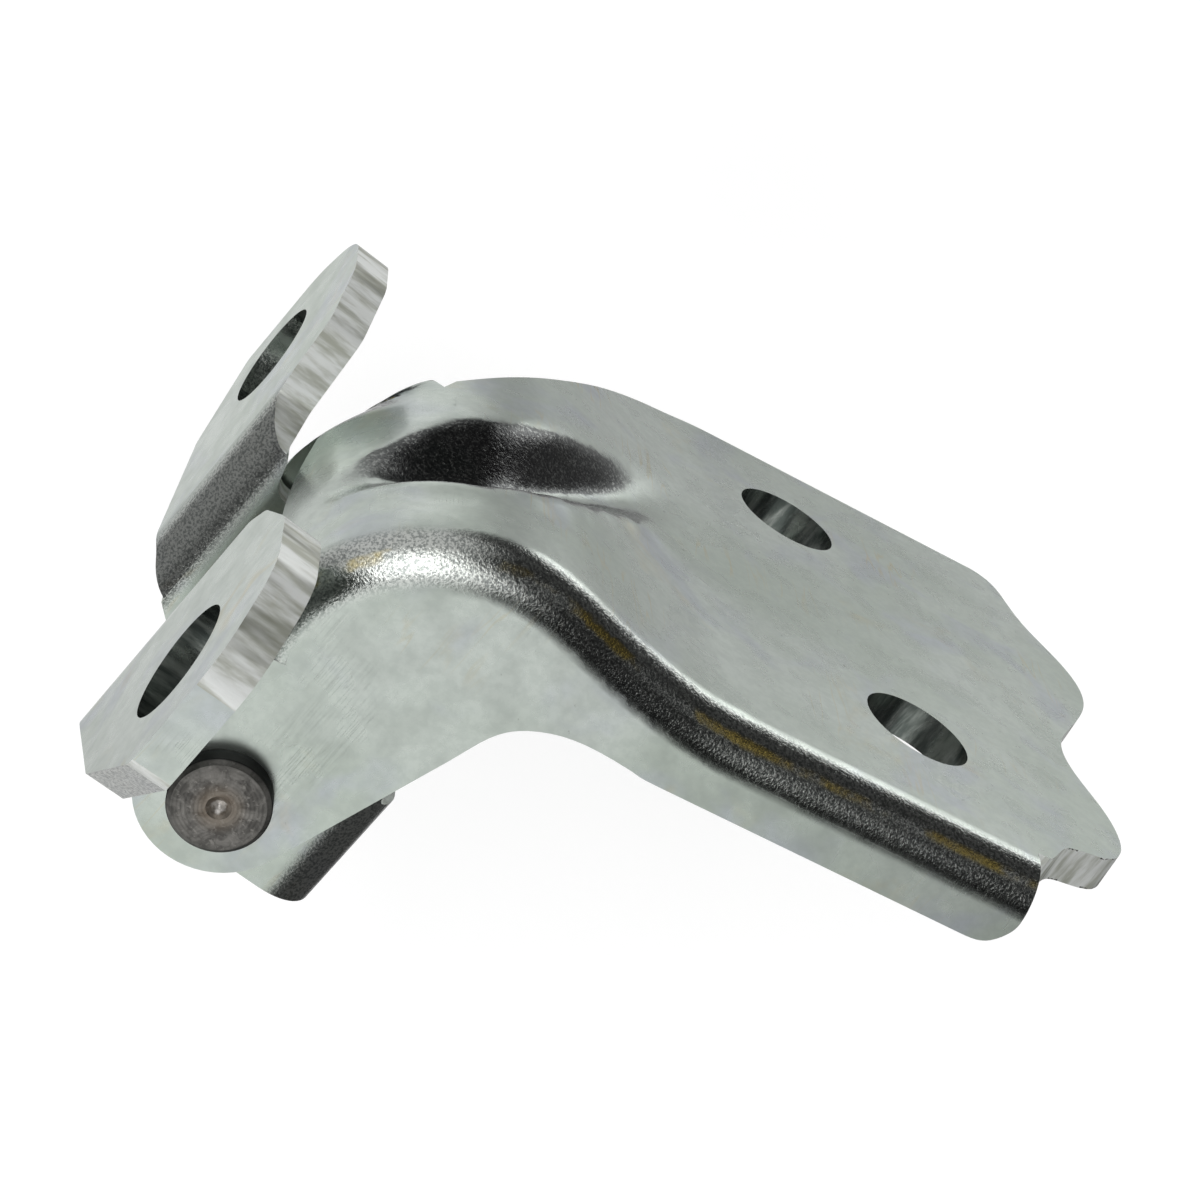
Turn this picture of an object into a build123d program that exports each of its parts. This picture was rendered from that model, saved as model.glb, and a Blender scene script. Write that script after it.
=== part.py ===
from build123d import *
import math
import os

# Car door hinge: a body bracket, a door bracket, one pin and two flanged bushes.
# Row frame in millimetres: the origin is the centre of the body bracket's two bolt
# holes on its mounting face, the mounting face looks along -X, and +Z runs up the pin.

# Sheet and pin
sheet = 4.0
pin_radius = 5.0
pin_x = 14.0
pin_y = -17.5
knuckle_width = 40.0
pin_stand_out = 2.4
pin_head_radius = 8.0
pin_head_height = 3.2

# Bushes in the body bracket's ears
bush_outer_radius = 6.5
bush_bore_radius = 5.05
bush_flange_radius = 8.2
bush_flange_thickness = 0.9
bush_lip = 0.5

# Body bracket
hat_depth = 30.0
ear_face = 15.0
body_outer_bend = 5.8
body_hole_radius = 6.0
body_hole_y = 3.4
body_hole_z = 31.8
tab_stagger = 6.8

# Door bracket, in its own frame: x along the plate, y down the pin from the
# upper ear's outer face, z the height above the pin's axis
plate_angle = 79.57
plate_height = 29.0
plate_width = 80.4
door_hole_radius = 6.0
door_hole_near = (62.7, 22.1)
door_hole_far = (51.8, 64.5)
crest_radius = 20.3
crest_x = 14.5
crest_height = 34.4
door_outer_bend = 5.1
ear_radius = 8.3
flange_foot = 20.3
flange_end = 74.1
valley_start = 14.0
valley_turn = 12.5
valley_tip = -3.0
valley_growth = 11.0
valley_width = 18.5
valley_depth = 3.8
valley_skew = 0.7
valley_end = 38.0
valley_fade = 22.0
far_ear_end = 7.0
neck_end = 44.0
neck_foot = 6.0
section_step = 3.0
ear_roll_start = 15.0

half_width = knuckle_width / 2
ear_inner = ear_face - sheet
tilt = math.radians(plate_angle)
away = (-math.sin(tilt), math.cos(tilt))
along = (math.cos(tilt), math.sin(tilt))


def cylinder_z(radius, x, y, low, high):
    """Solid round bar along Z between two heights."""
    return Pos(x, y, (low + high) / 2) * Cylinder(radius, high - low)


def prism(plane, lines, low, high):
    """Closed outline on a plane, extruded between two offsets along its normal."""
    edges = [edge.moved(plane.location) for line in lines for edge in line.edges()]
    face = make_face(edges)
    return extrude(face.moved(Location(plane.z_dir * low)), amount=high - low, dir=plane.z_dir)


def rounded_outline(points, radii):
    """Closed polygon whose corners are rounded, each by its own radius."""
    outline = make_face(Polyline(*points, close=True))
    for point, radius in zip(points, radii):
        if radius > 0:
            corner = outline.vertices().sort_by_distance(Vector(*point))[0]
            outline = fillet(corner, radius)
    return outline.wire()


def hat_section():
    """Bent strip of the body bracket, wider than any of its outlines."""
    outer = [
        (0.0, 46.0),
        (0.0, ear_inner),
        (hat_depth - sheet, ear_inner),
        (hat_depth - sheet, -ear_inner),
        (0.0, -ear_inner),
        (0.0, -46.0),
        (sheet, -46.0),
        (sheet, -ear_face),
        (hat_depth, -ear_face),
        (hat_depth, ear_face),
        (sheet, ear_face),
        (sheet, 46.0),
    ]
    inner_bend = body_outer_bend - sheet
    big = body_outer_bend
    radii = [0.0, big, inner_bend, inner_bend, big, 0.0, 0.0, inner_bend, big, big, inner_bend, 0.0]
    plane = Plane(origin=(0, 0, 0), x_dir=(1, 0, 0), z_dir=(0, -1, 0))
    return prism(plane, [rounded_outline(outer, radii)], -40.0, 60.0)


def tab_outline(side):
    """Outline of one mounting tab and its share of the ear, seen along X."""
    shift = 0.0 if side > 0 else tab_stagger
    reach = 43.2 if side > 0 else 41.6
    root = -23.8 if side > 0 else -25.0
    top = 4.1 if side > 0 else 6.2
    points = [
        (-21.9, 14.0),
        (-20.9, 18.0),
        (-16.9, 33.0),
        (-8.7, reach),
        (4.2, reach),
        (11.4, 37.0),
        (11.4, 26.5),
        (7.8, 18.5),
        (top - shift, 15.5),
        (2.6 - shift, 11.5),
        (2.6 - shift, -4.0),
        (root, -4.0),
        (root, 11.0),
    ]
    radii = [3.0, 0.0, 1.6, 1.2, 9.0, 7.5, 6.5, 3.0, 1.0, 1.0, 0.0, 0.0, 1.0]
    moved = [(y + shift, z) for y, z in points]
    plane = Plane(origin=(0, 0, 0), x_dir=(0, 1, 0), z_dir=(1, 0, 0))
    solid = prism(plane, [rounded_outline(moved, radii)], -5.0, 12.0)
    return solid if side > 0 else mirror(solid, about=Plane.XY)


def ear_outline(side):
    """Outline of one ear and half of the web, seen along the pin."""
    shift = 0.0 if side > 0 else tab_stagger
    top = 4.1 if side > 0 else 6.2
    points = [
        (-6.0, -21.9 + shift),
        (0.0, -21.9 + shift),
        (6.0, -25.1 + shift * 0.75),
        (14.0, -25.7),
        (31.0, -25.7),
        (31.0, -11.9),
        (28.0, -11.9),
        (28.0, -6.6),
        (20.0, -2.6),
        (5.6, -1.4),
        (4.6, 2.2),
        (0.0, top),
        (-6.0, top),
    ]
    radii = [0.0, 0.0, 7.0, 7.0, 0.0, 1.0, 0.8, 1.5, 5.0, 2.0, 1.2, 0.0, 0.0]
    plane = Plane.XY
    low, high = (0.0, 47.0) if side > 0 else (-47.0, 0.0)
    return prism(plane, [rounded_outline(points, radii)], low, high)


def body_bracket():
    """Hat-section bracket with two staggered tabs and two bushed ears."""
    strip = hat_section()
    behind = Pos(30.0 + 4.0, 0, 0) * Box(60, 200, 200)
    tabs = strip - behind
    rear = strip & behind
    tabs = tabs & (tab_outline(1) + tab_outline(-1))
    ears = (ear_outline(1) + ear_outline(-1)) & rear
    solid = tabs + ears
    solid -= cylinder_z(bush_outer_radius, pin_x, pin_y, -40, 40)
    for side in (1, -1):
        hole = Pos(0, -side * body_hole_y, side * body_hole_z) * Rot(0, 90, 0) * Cylinder(body_hole_radius, 20)
        solid -= hole
    return solid


def neck_stations():
    """Places along the plain section of the neck, each with its inward direction."""
    centre = crest_height - crest_radius
    stations = [((crest_x - crest_radius, height), (1.0, 0.0)) for height in (neck_foot, 10.0)]
    for step in range(10):
        turn = math.radians(180 - 10 * step)
        out = (math.cos(turn), math.sin(turn))
        place = (crest_x + crest_radius * out[0], centre + crest_radius * out[1])
        stations.append((place, (-out[0], -out[1])))
    wave = Spline(
        (crest_x, crest_height),
        (crest_x + 6.4, crest_height - 0.95),
        (crest_x + 12.9, crest_height - 2.95),
        (crest_x + 20.4, crest_height - 4.75),
        (neck_end, plate_height),
        tangents=[(1, 0), (1, 0)],
    )
    for step in range(1, 10):
        place = wave @ (step / 9)
        way = wave % (step / 9)
        stations.append(((place.X, place.Y), (way.Y, -way.X)))
    return stations


def valley_drop(x, y):
    """Depth of the pressed valley below the plain surface at one place."""
    grow = min(max((x - valley_tip) / valley_growth, 0.0), 1.0)
    if grow == 0.0:
        return 0.0
    near = valley_start + 5.0 * math.log(1.0 + math.exp((x - valley_turn) / 4.0)) + 3.5 * (1.0 - grow)
    across = (y - near) / (valley_width * grow**0.7)
    if across <= 0.0 or across >= 1.0:
        return 0.0
    fade = min(max((valley_end - x) / valley_fade, 0.0), 1.0)
    fade = fade * fade * (3.0 - 2.0 * fade)
    rise = math.sin(0.5 * math.pi * grow)
    return valley_depth * rise * fade * math.sin(math.pi * across**valley_skew) ** 2


def neck_section(stations, y, drop):
    """Closed section of the neck at one depth, lowered by the valley and by one drop."""
    points = []
    for (x, z), (inward_x, inward_z) in stations:
        fall = valley_drop(x, y) + drop
        points.append(Vector(x + inward_x * fall, y, z + inward_z * fall))
    places = [i / (len(points) - 1) for i in range(len(points))]
    top = Edge.make_spline(points, tangents=[Vector(0, 0, 1), Vector(1, 0, 0)], parameters=places)
    first = points[0]
    last = points[-1]
    corner = Vector(last.X, y, first.Z)
    return Wire([top, Edge.make_line(last, corner), Edge.make_line(corner, first)])


def round_top_edge(block, y, radius):
    """Round the edge where the neck's top surface turns down into a side wall."""
    chosen = []
    for edge in block.edges():
        box = edge.bounding_box()
        curved = box.size.X > 4 and box.size.Z > 4 and box.size.Y < 0.01
        if curved and abs(box.min.Y - y) < 0.01:
            chosen.append(edge)
    return fillet(chosen, radius)


def keep_x(low_x, high_x):
    """Box that keeps one stretch of the bracket along its plate."""
    return Pos((low_x + high_x) / 2, 40.0, 20.0) * Box(high_x - low_x, 200.0, 200.0)


def neck_block(drop, radius):
    """Block under the neck's top or under face, with the valley and its rolled edges."""
    stations = neck_stations()
    depths = [drop + section_step * i for i in range(32)]
    block = Solid.make_loft([neck_section(stations, y, drop) for y in depths])
    width = knuckle_width - 2 * drop
    knuckle = block & Pos(far_ear_end - 60.0, knuckle_width / 2, 20.0) * Box(120.0, width, 200.0)
    knuckle = round_top_edge(knuckle, drop, radius)
    knuckle = round_top_edge(knuckle, knuckle_width - drop, radius)
    wide = round_top_edge(block & keep_x(far_ear_end, 60.0), drop, radius)
    return knuckle + wide


def plate_block(drop, radius):
    """Block under the flat plate's top or under face, with its rolled near edge."""
    width = 100.0 - drop
    height = plate_height - drop - neck_foot
    block = Pos(neck_end + 30.0, drop + width / 2, neck_foot + height / 2) * Box(60.0, width, height)
    edge = block.edges().filter_by(Axis.X).group_by(Axis.Y)[0].sort_by(Axis.Z)[-1]
    return fillet(edge, radius)


def near_wall():
    """Side outline of the upper ear running into the low flange."""
    plane = Plane(origin=(0, 0, 0), x_dir=(1, 0, 0), z_dir=(0, -1, 0))
    slope = (math.cos(math.radians(60.6)), math.sin(math.radians(60.6)))
    touch = (ear_radius * slope[1], -ear_radius * slope[0])
    waist = (touch[0] + 20.0 * slope[0], touch[1] + 20.0 * slope[1])
    left = (ear_radius * away[0], ear_radius * away[1])
    top_left = (left[0] + 50 * along[0], left[1] + 50 * along[1])
    ear_arc = ThreePointArc(left, (-ear_radius * 0.5, -ear_radius * 0.866), touch)
    side = Line(touch, waist)
    foot = Spline(
        waist,
        (20.4, 18.6),
        (24.0, 20.4),
        (28.0, 20.9),
        (33.0, 20.5),
        (40.0, flange_foot),
        tangents=[slope, (1, 0)],
    )
    corner = Spline(
        (flange_end - 4.6, flange_foot),
        (flange_end - 1.6, flange_foot + 0.7),
        (flange_end - 0.2, flange_foot + 2.6),
        (flange_end, flange_foot + 5.0),
        tangents=[(1, 0), (0, 1)],
    )
    rest = Polyline((flange_end, flange_foot + 5.0), (flange_end, 60.0), (top_left[0], 60.0), top_left, left)
    bottom = Line((40.0, flange_foot), (flange_end - 4.6, flange_foot))
    return prism(plane, [ear_arc, side, foot, bottom, corner, rest], -6.0, 1.0)


def far_wall():
    """Side outline of the lower ear, which ends where the plate flares out."""
    plane = Plane(origin=(0, 0, 0), x_dir=(1, 0, 0), z_dir=(0, -1, 0))
    slope = (math.cos(math.radians(75)), math.sin(math.radians(75)))
    touch = (ear_radius * slope[1], -ear_radius * slope[0])
    waist = (touch[0] + 24.0 * slope[0], touch[1] + 24.0 * slope[1])
    left = (ear_radius * away[0], ear_radius * away[1])
    top_left = (left[0] + 50 * along[0], left[1] + 50 * along[1])
    ear_arc = ThreePointArc(left, (-ear_radius * 0.5, -ear_radius * 0.866), touch)
    rest = Polyline(touch, waist, (waist[0] + 4.0, 60.0), (top_left[0], 60.0), top_left, left)
    return prism(plane, [ear_arc, rest], -knuckle_width - 1.0, -knuckle_width + 6.0)


def plan_outline():
    """Outline of the door bracket seen square onto its plate."""
    flare = Spline(
        (2.0, knuckle_width),
        (6.4, 42.0),
        (11.6, 46.6),
        (19.2, 56.4),
        (28.6, 71.0),
        (35.2, 77.4),
        (39.0, 79.6),
        (43.0, plate_width),
    )
    far_side = Line((43.0, plate_width), (79.6, plate_width))
    corner = Spline(
        (79.6, plate_width),
        (82.0, 79.2),
        (83.7, 74.8),
        (85.6, 69.2),
        (88.8, 63.8),
        (90.5, 58.6),
        (90.2, 53.6),
        (88.4, 48.6),
        (86.0, 43.6),
        (84.1, 39.4),
        (83.5, 35.6),
        (84.4, 30.6),
        (86.2, 25.6),
        (87.0, 20.6),
        (86.4, 16.4),
        (84.4, 13.4),
        (81.4, 12.0),
        (78.9, 11.0),
        (77.4, 9.0),
        (76.0, 6.6),
        (flange_end, 5.2),
    )
    rest = Polyline((flange_end, 5.2), (flange_end, -2.0), (-12.0, -2.0), (-12.0, knuckle_width), (2.0, knuckle_width))
    return prism(Plane.XY, [flare, far_side, corner, rest], -20.0, 60.0)


def web_end():
    """Block beyond the web's cut end, where the sheet stops short of the knuckle."""
    far = knuckle_width - sheet
    plane = Plane(origin=(0, 0, 0), x_dir=(0, 1, 0), z_dir=(-away[0], 0, -away[1]))
    cut = Spline(
        (sheet, 17.4),
        (8.0, 18.4),
        (16.0, 18.4),
        (24.0, 18.9),
        (31.0, 20.6),
        (far, 22.4),
        tangents=[(0.6, 1), (1, 0.35)],
    )
    rest = Polyline((far, 22.4), (far, -30.0), (sheet, -30.0), (sheet, 17.4))
    return prism(plane, [cut, rest], -16.0, 6.0)


def ear_plate(outline, low_y):
    """Flat lower part of an ear, below the place where the roll begins."""
    slab = Pos(0, low_y + sheet / 2, -5.0) * Box(60, sheet, 2 * (ear_roll_start + 5.0))
    return outline & slab


def door_bracket_local():
    """Swan-neck bracket: plate, rolled flange, two ears and the pressed valley."""
    inner_bend = door_outer_bend - sheet
    solid = neck_block(0.0, door_outer_bend) - neck_block(sheet, inner_bend)
    solid += plate_block(0.0, door_outer_bend) - plate_block(sheet, inner_bend)
    solid = (solid & plan_outline()) - web_end()
    near_zone = Pos(50, 0, 20) * Box(200, 12, 160)
    far_zone = Pos(far_ear_end - 50, knuckle_width, 20) * Box(100, 12, 160)
    middle = solid - near_zone - far_zone
    near_side = (solid & near_zone & near_wall()) + ear_plate(near_wall(), 0.0)
    far_side = (solid & far_zone & far_wall()) + ear_plate(far_wall(), knuckle_width - sheet)
    solid = middle + near_side + far_side
    for x, y in (door_hole_near, door_hole_far):
        solid -= Pos(x, y, plate_height) * Cylinder(door_hole_radius, 20)
    solid -= Pos(0, knuckle_width / 2, 0) * Rot(90, 0, 0) * Cylinder(pin_radius, knuckle_width + 4)
    return solid


def door_bracket():
    """Door bracket turned from its own frame into the row's frame."""
    seat = Plane(
        origin=(pin_x, pin_y, half_width),
        x_dir=(along[1], along[0], 0),
        z_dir=(-along[0], along[1], 0),
    )
    return seat.location * door_bracket_local()


def hinge_pin():
    """Shouldered pin: plain shank, low rivet head below, turned end with a centre mark."""
    top = half_width + pin_stand_out
    shank = cylinder_z(pin_radius, pin_x, pin_y, -half_width, top)
    shank = chamfer(shank.edges().sort_by(Axis.Z)[-1], 0.5)
    head = cylinder_z(pin_head_radius, pin_x, pin_y, -half_width - pin_head_height, -half_width)
    head = chamfer(head.edges().sort_by(Axis.Z)[0], 1.3, 1.0)
    mark = Pos(pin_x, pin_y, top - 0.4) * Cone(0.1, 1.3, 0.9)
    return shank + head - mark


def bush(side):
    """Flanged bush in one ear of the body bracket, with its flange towards the door ear."""
    sleeve = cylinder_z(bush_outer_radius, pin_x, pin_y, ear_inner - bush_lip, ear_face)
    flange = cylinder_z(bush_flange_radius, pin_x, pin_y, ear_face, ear_face + bush_flange_thickness)
    flange = chamfer(flange.edges().sort_by(Axis.Z)[-1], 0.3)
    solid = sleeve + flange - cylinder_z(bush_bore_radius, pin_x, pin_y, 0, 30)
    return solid if side > 0 else mirror(solid, about=Plane.XY)


if __name__ == "__main__":
    os.makedirs("parts", exist_ok=True)
    export_step(body_bracket(), "parts/body_bracket.step")
    export_step(door_bracket(), "parts/door_bracket.step")
    export_step(hinge_pin(), "parts/hinge_pin.step")
    export_step(bush(1), "parts/upper_bush.step")
    export_step(bush(-1), "parts/lower_bush.step")
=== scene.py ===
import math

import bmesh
import bpy
from bpy.props import FloatProperty, FloatVectorProperty, PointerProperty
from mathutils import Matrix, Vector
from mathutils.bvhtree import BVHTree


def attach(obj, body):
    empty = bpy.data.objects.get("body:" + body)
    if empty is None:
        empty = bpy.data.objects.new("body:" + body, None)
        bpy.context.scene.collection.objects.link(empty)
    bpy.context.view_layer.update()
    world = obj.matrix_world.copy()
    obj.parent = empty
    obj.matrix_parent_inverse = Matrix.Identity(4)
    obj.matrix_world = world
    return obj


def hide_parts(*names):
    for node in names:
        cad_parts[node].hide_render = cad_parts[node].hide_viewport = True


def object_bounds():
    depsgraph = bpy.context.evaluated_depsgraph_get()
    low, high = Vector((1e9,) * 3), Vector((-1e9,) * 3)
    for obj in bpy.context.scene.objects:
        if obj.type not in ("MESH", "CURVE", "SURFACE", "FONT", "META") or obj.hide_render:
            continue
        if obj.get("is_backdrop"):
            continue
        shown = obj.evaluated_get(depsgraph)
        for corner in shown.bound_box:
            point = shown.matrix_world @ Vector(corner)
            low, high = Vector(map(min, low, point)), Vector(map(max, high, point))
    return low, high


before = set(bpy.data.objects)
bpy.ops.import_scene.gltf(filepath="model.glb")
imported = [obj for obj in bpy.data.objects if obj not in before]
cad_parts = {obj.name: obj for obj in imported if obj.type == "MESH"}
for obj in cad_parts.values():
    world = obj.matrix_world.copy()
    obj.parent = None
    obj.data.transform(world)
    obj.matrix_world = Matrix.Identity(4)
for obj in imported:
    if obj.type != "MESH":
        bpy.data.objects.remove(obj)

bl_info = {
    "name": "Car Door Hinge Dressing",
    "version": (1, 0, 0),
    "blender": (4, 5, 0),
    "location": "View3D > Sidebar > Hinge",
    "description": "Dresses the packed door hinge: zinc plated brackets, turned pin, bronze bushes and a studio",
    "category": "Object",
}

MM = 0.001

# Facts of the hinge in its row frame, which the finishes and the shading go by
SHEET = 4.0 * MM
HOLE_ACROSS = 12.5 * MM
PIN_AXIS = (14.0 * MM, -17.5 * MM)
EAR_TOP = 20.0 * MM
# VALLEY_PLACE is the centre of the painted dark reflection in the pressed valley
VALLEY_PLACE = (24.1 * MM, 15.9 * MM, -13.0 * MM)

# The door bracket in its own frame: x along the plate, y down the pin from the upper ear's outer
# face, z the height above the pin's axis
PLATE_TURN = math.radians(79.57)
CREST_CENTRE = (14.5 * MM, 14.1 * MM)
CREST_RADIUS = 20.3 * MM
BEND_OUTER = 5.1 * MM
LOWER_EDGE = 40.0 * MM
BEND_START = LOWER_EDGE - BEND_OUTER

# Where the lower ear's rolled edge opens out along x, and how the move fades below the bend
RUN_START = -6.0 * MM
RUN_END = 7.0 * MM
RUN_STEP = 0.5 * MM
RUN_FADE = 8.0 * MM
RUN_BELOW = 6.0 * MM
FLARE_START = 4.0 * MM
FLARE_SLOPE = 0.8

# Rounding and shading of the pieces
EDGE_ROUND = 0.55 * MM
EDGE_ANGLE = math.radians(44.0)
SMOOTH_ANGLE = math.radians(28.0)
FLAT_ANGLE = math.radians(0.4)
FLAT_WEIGHT = 80

# How the faces of a sheet are told apart
RAY_GAP = 0.02 * MM
CUT_DEPTH = 1.4 * SHEET
LEAN_FLAT = 0.06
LEAN_BENT = 0.40

# Colours of the zinc plate besides the three that can be set
STAIN = (0.66, 0.55, 0.30)
PEELED = (0.44, 0.50, 0.46)
SPECK = (0.20, 0.20, 0.18)
TORN_DULL = (0.48, 0.49, 0.42)
TORN_BRIGHT = (0.93, 0.95, 0.93)
BURNT = (0.14, 0.14, 0.10)
# Tones of the bore walls, darkened as painted shade inside the holes
BORE_PAINTED_SHADE_DARK = (0.10, 0.12, 0.11)
BORE_PAINTED_SHADE_PALE = (0.42, 0.45, 0.42)
# Grain of the stretched bends; its dark tone also serves as painted shade on the bends
GRAIN_DARK_AND_SHADE = (0.26, 0.27, 0.27)
GRAIN_PALE = (0.86, 0.87, 0.84)
# Painted dark reflection for the pressed valley: near black with paler grit
PAINTED_DARK_REFLECTION = (0.035, 0.035, 0.04)
PAINTED_DARK_REFLECTION_GRIT = (0.34, 0.35, 0.34)
# Painted yellow glint along the door bracket's rolled bend
PAINTED_GLINT_YELLOW = (0.90, 0.72, 0.24)

# Colours and radii of the pin's end
PIN_RUST = (0.36, 0.27, 0.18)
PIN_RING = (0.13, 0.13, 0.12)
# Painted shade: near black on the side of the pin's end that stands proud of the ear
PIN_PAINTED_SHADE_RIM = (0.03, 0.03, 0.03)
PIN_MARK = (0.86, 0.83, 0.79)

# Studio: the key softbox in degrees and metres, the floor, and the levels that the metal mirrors
KEY_TURN = 133.0
KEY_RISE = 46.0
KEY_DISTANCE = 0.6
KEY_SIZE = (0.20, 0.46)
FLOOR_SIZE = 6.0
FLOOR_WHITE = (0.96, 0.96, 0.96, 1.0)
FLOOR_GLOW = 0.10
AIR_LEVEL = 1.0
SKY_LOW = 0.55
SKY_HIGH = 0.86
GROUND_LEVEL = 0.82

# Patches on the studio's walls, seen by the metal only: turn and rise of the centre, inner and
# outer half angle, all in degrees, and the level
WALLS = (
    (72.0, 14.0, 28.0, 46.0, 0.025),
    (82.0, -28.0, 22.0, 36.0, 0.05),
    (38.0, -33.0, 16.0, 23.0, 0.10),
    (35.0, 50.0, 18.0, 32.0, 0.02),
    (15.0, 68.0, 15.5, 19.5, 0.004),
    (-158.0, 0.0, 28.0, 44.0, 0.20),
    (-150.0, 50.0, 14.0, 26.0, 0.09),
    (-30.0, -5.0, 36.0, 52.0, 0.06),
    (-10.0, 45.0, 12.0, 24.0, 0.06),
    (74.0, 22.0, 2.0, 6.5, 0.55),
)

# The same for the ground under the hinge, laid over the walls
GROUND = (
    (52.0, -66.0, 12.0, 24.0, 0.40),
    (68.0, -46.0, 9.5, 12.5, 1.5),
)


# Small helpers shared by the operators

def deselect_all():
    if bpy.context.object and bpy.context.object.mode != "OBJECT":
        bpy.ops.object.mode_set(mode="OBJECT")
    bpy.ops.object.select_all(action="DESELECT")


def pick(obj):
    deselect_all()
    obj.select_set(True)
    bpy.context.view_layer.objects.active = obj


def soft_step(low, high, value):
    share = min(1.0, max(0.0, (value - low) / (high - low)))
    return share * share * (3.0 - 2.0 * share)


def merged_copy(node, name, reshape=None):
    """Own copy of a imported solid, with its loose triangles joined into flat faces."""
    pick(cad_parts[node])
    bpy.ops.object.duplicate()
    piece = bpy.context.object
    piece.name = name
    piece.parent = None
    for key in list(piece.keys()):
        del piece[key]
    bpy.ops.mesh.customdata_custom_splitnormals_clear()
    bpy.ops.object.mode_set(mode="EDIT")
    bpy.ops.mesh.select_all(action="SELECT")
    bpy.ops.mesh.remove_doubles(threshold=1e-6)
    if reshape:
        bpy.ops.object.mode_set(mode="OBJECT")
        reshape(piece)
        bpy.ops.object.mode_set(mode="EDIT")
        bpy.ops.mesh.select_all(action="SELECT")
    bpy.ops.mesh.dissolve_limited(angle_limit=FLAT_ANGLE, use_dissolve_boundaries=False)
    bpy.ops.object.mode_set(mode="OBJECT")
    piece.data.materials.clear()
    return piece


# The run-out of the door bracket's lower rolled edge

def cut_rows(piece):
    """Cut extra rows across the lower ear's rolled edge, so that it can be reshaped smoothly."""
    along = Vector((math.sin(PLATE_TURN), math.cos(PLATE_TURN), 0.0))
    origin = Vector((*PIN_AXIS, EAR_TOP))
    mesh = bmesh.new()
    mesh.from_mesh(piece.data)
    for row in range(round(RUN_START / RUN_STEP), round(RUN_END / RUN_STEP) + 1):
        faces = []
        for face in mesh.faces:
            place = face.calc_center_median() - origin
            lower = -place.z > BEND_START - 1.0 * MM
            if lower and RUN_START - 2.0 * MM < place.dot(along) < RUN_END + RUN_STEP:
                faces.append(face)
        parts = set(faces)
        for face in faces:
            parts.update(face.edges)
            parts.update(face.verts)
        bmesh.ops.bisect_plane(
            mesh, geom=list(parts), dist=1e-8, plane_co=origin + along * (row * RUN_STEP), plane_no=along
        )
    mesh.to_mesh(piece.data)
    mesh.free()


def laid_flat(y, depth):
    """Where a point of the rolled edge lies once the sheet is flat, and how far the move applies."""
    if depth >= BEND_OUTER:
        fade = 1.0 - soft_step(0.0, RUN_FADE, depth - BEND_OUTER)
        return BEND_START + BEND_OUTER * 0.5 * math.pi, depth + (LOWER_EDGE - y) - BEND_OUTER, fade
    reach = math.hypot(y - BEND_START, BEND_OUTER - depth)
    if reach > BEND_OUTER + 0.05 * MM:
        return None
    bent = math.atan2(y - BEND_START, BEND_OUTER - depth)
    return BEND_START + BEND_OUTER * bent, BEND_OUTER - reach, 1.0


def run_out_roll(piece):
    """Let the lower ear's rolled edge open out into the plate's flare instead of stopping at a step."""
    cut_rows(piece)
    sine, cosine = math.sin(PLATE_TURN), math.cos(PLATE_TURN)
    centre_x, centre_z = CREST_CENTRE
    slack = 0.02 * MM
    for vertex in piece.data.vertices:
        across, along = vertex.co.x - PIN_AXIS[0], vertex.co.y - PIN_AXIS[1]
        x, z = sine * across + cosine * along, -cosine * across + sine * along
        y = EAR_TOP - vertex.co.z
        in_run = RUN_START < x < RUN_END + slack and z > centre_z - RUN_BELOW
        if not (in_run and BEND_START < y < LOWER_EDGE + slack):
            continue
        radius = math.hypot(x - centre_x, z - centre_z)
        depth = CREST_RADIUS - radius
        flat = laid_flat(y, depth)
        if flat is None:
            continue
        flat_y, flat_depth, fade = flat
        share = soft_step(RUN_START, RUN_END, x) * fade
        limit = LOWER_EDGE + FLARE_SLOPE * max(0.0, x - FLARE_START)
        y += share * (min(flat_y, limit) - y)
        depth += share * (flat_depth - depth)
        grow = (CREST_RADIUS - depth) / radius
        x, z = centre_x + (x - centre_x) * grow, centre_z + (z - centre_z) * grow
        vertex.co = (
            PIN_AXIS[0] + sine * x - cosine * z,
            PIN_AXIS[1] + cosine * x + sine * z,
            EAR_TOP - y,
        )


# Shading of the pieces

def soften_edges(piece, rounded):
    """Round the sharp edges of a sheet a little, then shade the bends smooth and the flats flat."""
    pick(piece)
    if rounded:
        bevel = piece.modifiers.new("edge_round", "BEVEL")
        bevel.limit_method = "ANGLE"
        bevel.angle_limit = EDGE_ANGLE
        bevel.width = EDGE_ROUND
        bevel.segments = 2
        bevel.use_clamp_overlap = True
        bpy.ops.object.modifier_apply(modifier=bevel.name)
    bpy.ops.object.shade_smooth_by_angle(angle=SMOOTH_ANGLE)
    weighted = piece.modifiers.new("flat_faces_flat", "WEIGHTED_NORMAL")
    weighted.keep_sharp = True
    weighted.weight = FLAT_WEIGHT
    bpy.ops.object.modifier_apply(modifier=weighted.name)


def largest_triangle_centres(mesh):
    """Centre of each face's largest triangle, which lies on the face even where it is hollow."""
    centre, size = {}, {}
    mesh.calc_loop_triangles()
    for tri in mesh.loop_triangles:
        if tri.area > size.get(tri.polygon_index, 0.0):
            size[tri.polygon_index] = tri.area
            centre[tri.polygon_index] = sum((mesh.vertices[i].co for i in tri.vertices), Vector()) / 3.0
    return centre


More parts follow.
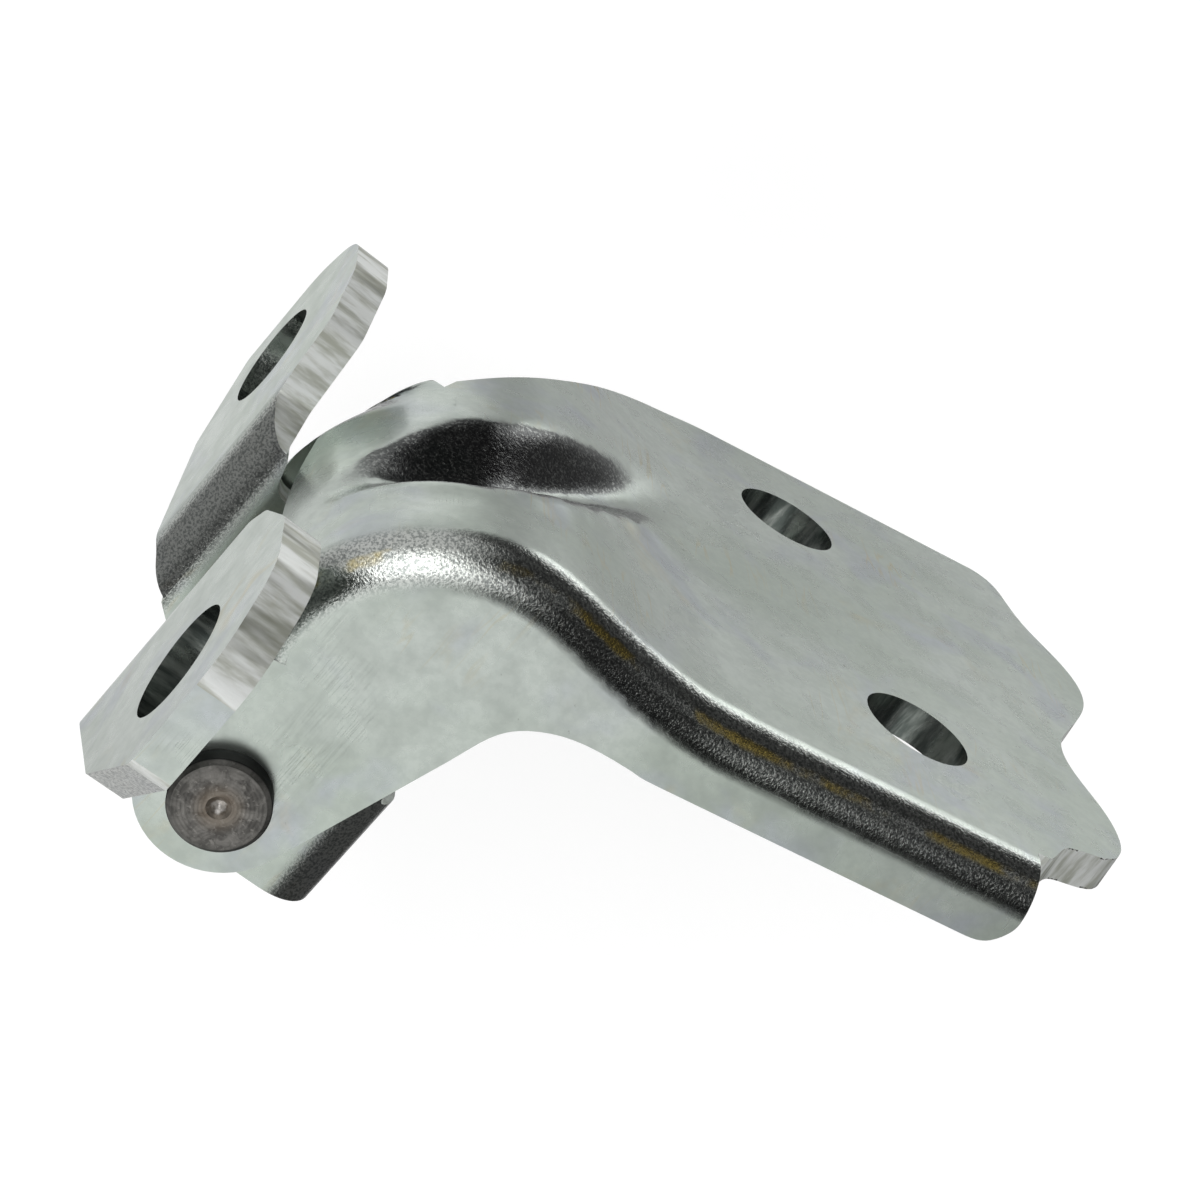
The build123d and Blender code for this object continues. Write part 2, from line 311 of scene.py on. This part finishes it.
def mark_sheet(piece):
    """Mark a sheet's bends, cut edges and bores, so that its finish can follow them."""
    mesh = piece.data
    tree = BVHTree.FromPolygons([v.co for v in mesh.vertices], [tuple(f.vertices) for f in mesh.polygons])
    centre = largest_triangle_centres(mesh)
    upright = [abs(normal.vector.z) for normal in mesh.corner_normals]
    marks = {name: [0.0] * len(upright) for name in ("bend", "cut", "bore", "fold")}
    for face in mesh.polygons:
        start = centre.get(face.index, face.center) - face.normal * RAY_GAP
        depth = tree.ray_cast(start, -face.normal)[3]
        sheared = depth is None or depth > CUT_DEPTH
        across = None
        if sheared:
            across = tree.ray_cast(start + face.normal * 2.0 * RAY_GAP, face.normal)[3]
        bored = across is not None and across < HOLE_ACROSS
        for loop in face.loop_indices:
            if sheared:
                marks["bore" if bored else "cut"][loop] = 1.0
                continue
            lean = min(upright[loop], math.sqrt(max(0.0, 1.0 - upright[loop] ** 2)))
            marks["bend"][loop] = soft_step(LEAN_FLAT, LEAN_BENT, lean)
            marks["fold"][loop] = math.asin(min(1.0, upright[loop])) / (0.5 * math.pi)
    for name, values in marks.items():
        mesh.attributes.new(name, "FLOAT", "CORNER").data.foreach_set("value", values)


def dress(node, name, body, material, sheet=False, reshape=None):
    """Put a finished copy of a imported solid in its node's place."""
    piece = merged_copy(node, name, reshape)
    soften_edges(piece, rounded=sheet)
    piece.data.materials.append(material)
    if sheet:
        mark_sheet(piece)
    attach(piece, body)
    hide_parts(node)


# Node building for the finishes and the world

class Board:
    """Short ways to add and join the nodes of one material or of the world."""

    def __init__(self, owner, coords):
        owner.use_nodes = True
        self.nodes = owner.node_tree.nodes
        self.links = owner.node_tree.links
        self.coords = self.nodes.new("ShaderNodeTexCoord").outputs[coords]

    def feed(self, value, socket):
        """Set a socket to a colour or a number, or join another node's output to it."""
        if isinstance(value, tuple):
            socket.default_value = (*value, 1.0)
        elif isinstance(value, float):
            socket.default_value = value
        else:
            self.links.new(value, socket)

    def attribute(self, name):
        node = self.nodes.new("ShaderNodeAttribute")
        node.attribute_name = name
        return node.outputs["Fac"]

    def split(self, source):
        node = self.nodes.new("ShaderNodeSeparateXYZ")
        self.feed(source, node.inputs["Vector"])
        return node.outputs

    def mapped(self, scale, turn=(0.0, 0.0, 0.0), shift=0.0):
        node = self.nodes.new("ShaderNodeMapping")
        node.inputs["Location"].default_value = (shift, shift, shift)
        node.inputs["Scale"].default_value = scale
        node.inputs["Rotation"].default_value = turn
        self.feed(self.coords, node.inputs["Vector"])
        return node.outputs["Vector"]

    def against(self, kind, vector):
        """Distance or dot product of the coordinates and one vector."""
        node = self.nodes.new("ShaderNodeVectorMath")
        node.operation = kind
        self.feed(self.coords, node.inputs[0])
        node.inputs[1].default_value = vector
        return node.outputs["Value"]

    def noise(self, scale, detail=4.0, rough=0.55, vector=None, distort=0.0):
        node = self.nodes.new("ShaderNodeTexNoise")
        node.inputs["Scale"].default_value = scale
        node.inputs["Detail"].default_value = detail
        node.inputs["Roughness"].default_value = rough
        node.inputs["Distortion"].default_value = distort
        self.feed(vector or self.coords, node.inputs["Vector"])
        return node.outputs["Fac"]

    def ramp(self, source, low, high, from_value=0.0, to_value=1.0):
        node = self.nodes.new("ShaderNodeMapRange")
        node.interpolation_type = "SMOOTHSTEP"
        node.inputs["From Min"].default_value = low
        node.inputs["From Max"].default_value = high
        node.inputs["To Min"].default_value = from_value
        node.inputs["To Max"].default_value = to_value
        self.feed(source, node.inputs["Value"])
        return node.outputs["Result"]

    def maths(self, kind, *values):
        node = self.nodes.new("ShaderNodeMath")
        node.operation = kind
        for socket, value in zip(node.inputs, values):
            self.feed(value, socket)
        return node.outputs["Value"]

    def product(self, first, second):
        return self.maths("MULTIPLY", first, second)

    def add_scaled(self, first, factor, rest):
        return self.maths("MULTIPLY_ADD", first, factor, rest)

    def thin_line(self, source, middle, inner, outer, strength):
        """Line where the source is near one value."""
        off = self.maths("ABSOLUTE", self.maths("SUBTRACT", source, middle))
        return self.ramp(off, inner, outer, strength, 0.0)

    def mixed(self, kind, share, first, second):
        node = self.nodes.new("ShaderNodeMix")
        node.data_type = "FLOAT" if kind == "VALUE" else "RGBA"
        self.feed(share, node.inputs["Factor"])
        for label, value in (("A", first), ("B", second)):
            self.feed(value, [s for s in node.inputs if s.name == label and s.type == kind][0])
        return [s for s in node.outputs if s.type == kind][0]

    def blend(self, share, first, second):
        return self.mixed("VALUE", share, first, second)

    def mix(self, share, first, second):
        return self.mixed("RGBA", share, first, second)

    def bump(self, height, strength, distance):
        node = self.nodes.new("ShaderNodeBump")
        node.inputs["Strength"].default_value = strength
        node.inputs["Distance"].default_value = distance
        self.feed(height, node.inputs["Height"])
        return node.outputs["Normal"]


def new_finish(name):
    """New material, the board for its nodes and its shader's inputs."""
    material = bpy.data.materials.new(name)
    board = Board(material, "Object")
    return material, board, board.nodes["Principled BSDF"].inputs


def zinc_finish(name, looks, torn_scale, painted_reflections):
    """Zinc plate on pressed steel sheet: pale faces, grainy stretched bends partly darkened as painted shade, torn
    cut edges and bore walls darkened as painted shade.
    """
    material, board, shader = new_finish(name)
    bend, cut, bore, fold = (board.attribute(mark) for mark in ("bend", "cut", "bore", "fold"))
    torn = board.noise(1.0, 4.0, 0.6, board.mapped(torn_scale))

    tint = zinc_faces(board, looks)
    burnt_scale = tuple(0.3 * s for s in torn_scale)
    burnt = board.noise(1.0, 3.0, 0.6, board.mapped(burnt_scale, shift=1.7))
    edge = board.mix(board.ramp(torn, 0.34, 0.60), TORN_DULL, TORN_BRIGHT)
    edge = board.mix(board.ramp(burnt, 0.50, 0.66, 0.0, 0.8), edge, BURNT)
    tint = board.mix(board.product(cut, 0.9), tint, edge)
    # Painted shade: the walls of the holes are darker than the outer cut edges
    shaded_bore_wall = board.mix(board.ramp(torn, 0.36, 0.64), BORE_PAINTED_SHADE_DARK, BORE_PAINTED_SHADE_PALE)
    tint = board.mix(board.product(bore, 0.95), tint, shaded_bore_wall)
    # Stretched grain on the bends, which also darkens them as painted shade
    bend_grain_and_shade = board.mix(board.ramp(board.noise(3600.0, 2.0, 0.6), 0.38, 0.58), GRAIN_DARK_AND_SHADE, GRAIN_PALE)
    tint = board.mix(board.product(bend, 0.7), tint, bend_grain_and_shade)
    if painted_reflections:
        # Painted dark reflection: the valley's bent faces near VALLEY_PLACE are tinted near black
        tint = board.mix(board.product(valley_painted_dark_reflection(board, bend), 0.85), tint, painted_dark_reflection_tint(board))
        # Painted yellow glint: a thin yellow line on the rolled bend, placed by how far its faces lean
        tint = board.mix(painted_yellow_glint(board, fold, bend), tint, PAINTED_GLINT_YELLOW)
    board.feed(tint, shader["Base Color"])

    rough = board.ramp(board.noise(240.0, 3.0), 0.35, 0.7, 0.26, 0.34)
    rough = board.blend(bend, rough, 0.10)
    rough = board.blend(cut, rough, 0.42)
    board.feed(rough, shader["Roughness"])
    board.feed(board.blend(cut, 1.0, 0.6), shader["Metallic"])

    grain = board.noise(3600.0, 3.0, 0.62)
    fine = board.noise(1300.0, 3.0, 0.6)
    height = board.product(grain, board.blend(bend, 0.03, 0.95))
    height = board.add_scaled(fine, 0.05, height)
    height = board.add_scaled(scratches(board), board.blend(bend, -0.07, 0.0), height)
    rugged = board.product(torn, board.maths("MAXIMUM", cut, bore))
    height = board.add_scaled(rugged, 1.6, height)
    board.feed(board.bump(height, 1.0, 0.05 * MM), shader["Normal"])
    return material


def zinc_faces(board, looks):
    """Cloudy passivated zinc with stains, peeled patches and fine specks."""
    pale, green, dusk = tuple(looks.zinc_pale), tuple(looks.zinc_green), tuple(looks.zinc_dusk)
    cloud = board.noise(38.0, 3.0, 0.5, distort=0.3)
    veil = board.noise(85.0, 3.0, 0.5, distort=0.8)
    tint = board.mix(board.ramp(cloud, 0.36, 0.66), pale, green)
    tint = board.mix(board.ramp(veil, 0.48, 0.72, 0.0, 0.7), tint, dusk)
    tint = board.mix(board.product(stains(board), 0.5), tint, STAIN)
    peel = board.ramp(board.noise(900.0, 3.0, 0.6), 0.35, 0.65, 0.0, 0.22)
    tint = board.mix(peel, tint, PEELED)
    speck = board.ramp(board.noise(700.0, 3.0, 0.7), 0.70, 0.78)
    return board.mix(board.product(speck, 0.5), tint, SPECK)


def valley_painted_dark_reflection(board, bend):
    """Painted dark reflection in the pressed valley: near its middle, on its bent faces."""
    near = board.ramp(board.against("DISTANCE", VALLEY_PLACE), 16.0 * MM, 25.0 * MM, 1.0, 0.0)
    return board.product(near, board.ramp(bend, 0.02, 0.30))


def painted_dark_reflection_tint(board):
    """Painted dark reflection: nearly black with pale grit."""
    return board.mix(board.ramp(board.noise(2600.0, 2.0, 0.6), 0.50, 0.64, 0.0, 0.8), PAINTED_DARK_REFLECTION, PAINTED_DARK_REFLECTION_GRIT)


def stains(board):
    """Soft ochre blotches and a few run marks that the passivation bath left."""
    blotch = board.ramp(board.noise(95.0, 4.0, 0.6, distort=0.5), 0.58, 0.74, 0.0, 0.55)
    lane = board.noise(1.0, 1.5, 0.5, board.mapped((620.0, 70.0, 70.0), (0.3, 0.7, 1.9), 5.0))
    line = board.thin_line(lane, 0.5, 0.0, 0.035, 0.8)
    patch = board.ramp(board.noise(60.0, 2.0, 0.5, board.mapped((1.0, 1.0, 1.0), shift=0.4)), 0.54, 0.66)
    return board.maths("MAXIMUM", blotch, board.product(line, patch))


def painted_yellow_glint(board, fold, bend):
    """Painted yellow glint in a thin line along the rolled bend, where its faces lean about half way."""
    near = board.thin_line(fold, 0.49, 0.02, 0.10, 1.0)
    patch = board.ramp(board.noise(110.0, 4.0, 0.6), 0.44, 0.58)
    return board.product(board.product(near, patch), bend)


def scratches(board):
    """Sparse hairlines in three directions, for the marks of handling."""
    total = None
    for turn, place in (((0.2, 0.3, 0.5), 1.0), ((0.9, 0.1, 1.6), 3.0), ((0.4, 1.1, 2.5), 7.0)):
        lane = board.noise(1.0, 1.0, 0.5, board.mapped((3000.0, 80.0, 80.0), turn, place))
        line = board.thin_line(lane, 0.5, 0.0, 0.012, 1.0)
        patch = board.ramp(board.noise(70.0, 2.0, 0.5, board.mapped((1.0, 1.0, 1.0), turn, place)), 0.58, 0.70)
        line = board.product(line, patch)
        total = line if total is None else board.maths("MAXIMUM", total, line)
    return total


def pin_finish(name, colour):
    """Turned steel with lathe rings on its ends, a centre mark, a mottled warm film and painted shade on the rim
    that stands proud of the ear.
    """
    material, board, shader = new_finish(name)
    place = board.split(board.coords)
    across = board.maths("SUBTRACT", place["X"], PIN_AXIS[0])
    along = board.maths("SUBTRACT", place["Y"], PIN_AXIS[1])
    squares = board.maths("ADD", board.product(across, across), board.product(along, along))
    radius = board.maths("SQRT", squares)

    film = board.noise(620.0, 5.0, 0.65, distort=0.6)
    dark = tuple(0.42 * c for c in colour)
    pale = tuple(min(1.0, 1.5 * c) for c in colour)
    tint = board.mix(board.ramp(film, 0.36, 0.64), dark, colour)
    tint = board.mix(board.ramp(board.noise(1700.0, 3.0, 0.7), 0.56, 0.70, 0.0, 0.7), tint, pale)
    tint = board.mix(board.ramp(radius, 1.2 * MM, 3.0 * MM, 0.35, 0.0), tint, PIN_RUST)
    tint = board.mix(board.ramp(radius, 3.2 * MM, 5.0 * MM, 0.0, 0.55), tint, PIN_RING)
    # Painted shade: the rim of the pin's end above the ear is tinted near black
    proud = board.ramp(place["Z"], 19.0 * MM, 19.5 * MM)
    tint = board.mix(board.product(board.ramp(radius, 4.85 * MM, 4.97 * MM), proud), tint, PIN_PAINTED_SHADE_RIM)
    ragged = board.add_scaled(board.noise(1500.0), 1.2 * MM, radius)
    tint = board.mix(board.ramp(ragged, 1.0 * MM, 1.4 * MM, 1.0, 0.0), tint, PIN_MARK)
    board.feed(tint, shader["Base Color"])

    rings = board.maths("SINE", board.product(radius, 16000.0))
    height = board.add_scaled(film, 2.0, board.product(rings, 0.22))
    board.feed(board.bump(height, 1.0, 0.03 * MM), shader["Normal"])
    shader["Metallic"].default_value = 0.9
    shader["Roughness"].default_value = 0.46
    return material


def bush_finish(name, colour):
    """Dull bronze with a grey liner film."""
    material, board, shader = new_finish(name)
    worn = tuple(0.6 * c for c in colour)
    board.feed(board.mix(board.ramp(board.noise(500.0), 0.4, 0.6), colour, worn), shader["Base Color"])
    shader["Metallic"].default_value = 0.85
    board.feed(board.ramp(board.noise(1200.0), 0.35, 0.65, 0.34, 0.52), shader["Roughness"])
    board.feed(board.bump(board.noise(1500.0), 0.6, 0.02 * MM), shader["Normal"])
    return material


# Settings and operators

def colour_property(name, description, default):
    return FloatVectorProperty(
        name=name, description=description, subtype="COLOR", size=3, min=0.0, max=1.0, default=default
    )


class HingeFinishSettings(bpy.types.PropertyGroup):
    """Colours of the hinge's metals."""

    zinc_pale: colour_property("Zinc, pale", "Palest tone of the zinc plate", (0.72, 0.78, 0.73))
    zinc_green: colour_property("Zinc, green tint", "Green tint in the plate's passivation", (0.61, 0.68, 0.61))
    zinc_dusk: colour_property("Zinc, dusky tint", "Blue and rose tint in the passivation", (0.60, 0.64, 0.70))
    pin_steel: colour_property("Pin steel", "Bare steel of the pin's end", (0.30, 0.29, 0.27))
    bush_bronze: colour_property("Bush bronze", "Dull bronze of the two bushes", (0.42, 0.34, 0.22))


class HingeStageSettings(bpy.types.PropertyGroup):
    """Camera, floor and light of the studio."""

    lens: FloatProperty(
        name="Lens", description="Focal length on a 36 mm frame", default=88.44, min=20.0, max=300.0, unit="CAMERA"
    )
    camera_place: FloatVectorProperty(
        name="Camera place", description="Where the camera stands", size=3, subtype="TRANSLATION", unit="LENGTH",
        default=(-0.050504, 0.100620, 0.264580),
    )
    camera_turn: FloatVectorProperty(
        name="Camera turn", description="How the camera is turned", size=3, subtype="EULER", unit="ROTATION",
        default=(math.radians(-24.66642), math.radians(-2.16354), math.radians(39.92005)),
    )
    floor_gap: FloatProperty(
        name="Floor gap", description="Distance of the floor below the hinge", default=0.03, min=0.0, max=0.5,
        unit="LENGTH", subtype="DISTANCE",
    )
    key_power: FloatProperty(
        name="Key power", description="Power of the key softbox", default=0.5, min=0.0, max=50.0, unit="POWER"
    )


class HINGE_OT_door_bracket(bpy.types.Operator):
    """Dress the swan-neck door bracket in zinc plate"""

    bl_idname = "hinge.door_bracket"
    bl_label = "Door Bracket"
    bl_options = {"REGISTER", "UNDO"}

    def execute(self, context):
        finish = zinc_finish("zinc_plate_door", context.scene.hinge_finish, (650.0, 120.0, 650.0), painted_reflections=True)
        dress(
            "door_bracket", "door_bracket_plated", "door_side", finish,
            sheet=True, reshape=run_out_roll,
        )
        return {"FINISHED"}


class HINGE_OT_body_bracket(bpy.types.Operator):
    """Dress the body bracket and its two tabs in zinc plate"""

    bl_idname = "hinge.body_bracket"
    bl_label = "Body Bracket"
    bl_options = {"REGISTER", "UNDO"}

    def execute(self, context):
        finish = zinc_finish("zinc_plate_body", context.scene.hinge_finish, (120.0, 650.0, 650.0), painted_reflections=False)
        dress("body_bracket", "body_bracket_plated", "body_side", finish, sheet=True)
        return {"FINISHED"}


class HINGE_OT_pin(bpy.types.Operator):
    """Dress the riveted pin"""

    bl_idname = "hinge.pin"
    bl_label = "Hinge Pin"
    bl_options = {"REGISTER", "UNDO"}

    def execute(self, context):
        finish = pin_finish("pin_turned_steel", tuple(context.scene.hinge_finish.pin_steel))
        dress("hinge_pin", "hinge_pin_turned", "door_side", finish)
        return {"FINISHED"}


class HINGE_OT_bushes(bpy.types.Operator):
    """Dress the two flanged bushes"""

    bl_idname = "hinge.bushes"
    bl_label = "Bushes"
    bl_options = {"REGISTER", "UNDO"}

    def execute(self, context):
        finish = bush_finish("bush_dull_bronze", tuple(context.scene.hinge_finish.bush_bronze))
        dress("upper_bush", "upper_bush_bronze", "body_side", finish)
        dress("lower_bush", "lower_bush_bronze", "body_side", finish)
        return {"FINISHED"}


# The studio

def heading(turn, rise):
    """Unit vector for a turn about +Z from +X and a rise above the horizon, both in degrees."""
    turn, rise = math.radians(turn), math.radians(rise)
    return Vector((math.cos(turn) * math.cos(rise), math.sin(turn) * math.cos(rise), math.sin(rise)))


def add_key_softbox(watts):
    """Rectangular area lamp that faces the hinge."""
    place = heading(KEY_TURN, KEY_RISE) * KEY_DISTANCE
    deselect_all()
    aim = (-place).to_track_quat("-Z", "Y").to_euler()
    bpy.ops.object.light_add(type="AREA", location=place, rotation=aim)
    lamp = bpy.context.object
    lamp.name = "key_softbox"
    lamp.data.shape = "RECTANGLE"
    lamp.data.size, lamp.data.size_y = KEY_SIZE
    lamp.data.energy = watts


def floor_finish():
    """White floor: plain white to the camera where it is lit, with the hinge's soft shadow."""
    material, board, shader = new_finish("floor_white")
    shader["Base Color"].default_value = FLOOR_WHITE
    shader["Roughness"].default_value = 0.9
    shader["Specular IOR Level"].default_value = 0.0
    shader["Emission Color"].default_value = (1.0, 1.0, 1.0, 1.0)
    seen = board.nodes.new("ShaderNodeLightPath").outputs["Is Camera Ray"]
    board.feed(board.product(seen, FLOOR_GLOW), shader["Emission Strength"])
    return material


def lay_patches(board, level, patches):
    """Lay round patches with soft borders over a level, one after another."""
    for turn, rise, inner, outer, value in patches:
        outside, inside = math.cos(math.radians(outer)), math.cos(math.radians(inner))
        share = board.ramp(board.against("DOT_PRODUCT", heading(turn, rise)), outside, inside)
        level = board.blend(share, level, value)
    return level


def world_light(scene):
    """White air for the camera; for the metal a pale ground, grey walls and dark flags."""
    world = bpy.data.worlds.new("studio_air")
    scene.world = world
    board = Board(world, "Generated")
    up = board.split(board.coords)["Z"]
    level = lay_patches(board, board.ramp(up, 0.2, 0.95, SKY_LOW, SKY_HIGH), WALLS)
    level = board.blend(board.ramp(up, -0.93, -0.82, 1.0, 0.0), level, GROUND_LEVEL)
    level = lay_patches(board, level, GROUND)
    path = board.nodes.new("ShaderNodeLightPath").outputs
    seen = board.maths("MAXIMUM", path["Is Camera Ray"], path["Is Diffuse Ray"])
    background = board.nodes["Background"].inputs
    board.feed(board.blend(seen, level, AIR_LEVEL), background["Color"])
    background["Strength"].default_value = 1.0


class HINGE_OT_stage(bpy.types.Operator):
    """Set up the pale floor, the soft studio light and the camera"""

    bl_idname = "hinge.stage"
    bl_label = "Stage"
    bl_options = {"REGISTER", "UNDO"}

    def execute(self, context):
        settings = context.scene.hinge_stage
        low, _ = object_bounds()
        deselect_all()
        bpy.ops.mesh.primitive_plane_add(size=FLOOR_SIZE, location=(0.0, 0.0, low[2] - settings.floor_gap))
        floor = context.object
        floor.name = "studio_floor"
        bpy.ops.object.transform_apply(location=True, rotation=False, scale=False)
        floor.data.materials.append(floor_finish())
        floor.visible_glossy = False
        floor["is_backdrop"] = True
        add_key_softbox(settings.key_power)
        deselect_all()
        bpy.ops.object.camera_add(location=settings.camera_place, rotation=settings.camera_turn)
        camera = context.object
        camera.data.lens = settings.lens
        camera.data.sensor_width = 36.0
        camera.data.clip_start = 0.01
        context.scene.camera = camera
        world_light(context.scene)
        context.scene.view_settings.view_transform = "Standard"
        return {"FINISHED"}


OPERATORS = (HINGE_OT_door_bracket, HINGE_OT_body_bracket, HINGE_OT_pin, HINGE_OT_bushes, HINGE_OT_stage)


class HINGE_PT_sidebar(bpy.types.Panel):
    """Buttons and settings of the hinge's dressing."""

    bl_label = "Car Door Hinge"
    bl_space_type = "VIEW_3D"
    bl_region_type = "UI"
    bl_category = "Hinge"

    def draw(self, context):
        layout = self.layout
        for operator in OPERATORS:
            layout.operator(operator.bl_idname)
        for settings in (context.scene.hinge_finish, context.scene.hinge_stage):
            for name in settings.__annotations__:
                layout.prop(settings, name)


CLASSES = (HingeFinishSettings, HingeStageSettings, *OPERATORS, HINGE_PT_sidebar)


def register():
    for cls in CLASSES:
        bpy.utils.register_class(cls)
    bpy.types.Scene.hinge_finish = PointerProperty(type=HingeFinishSettings)
    bpy.types.Scene.hinge_stage = PointerProperty(type=HingeStageSettings)


def unregister():
    del bpy.types.Scene.hinge_stage
    del bpy.types.Scene.hinge_finish
    for cls in reversed(CLASSES):
        bpy.utils.unregister_class(cls)


def main():
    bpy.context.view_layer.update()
    register()
    bpy.ops.hinge.door_bracket()
    bpy.ops.hinge.body_bracket()
    bpy.ops.hinge.pin()
    bpy.ops.hinge.bushes()
    bpy.ops.hinge.stage()


if __name__ == "__main__":
    main()
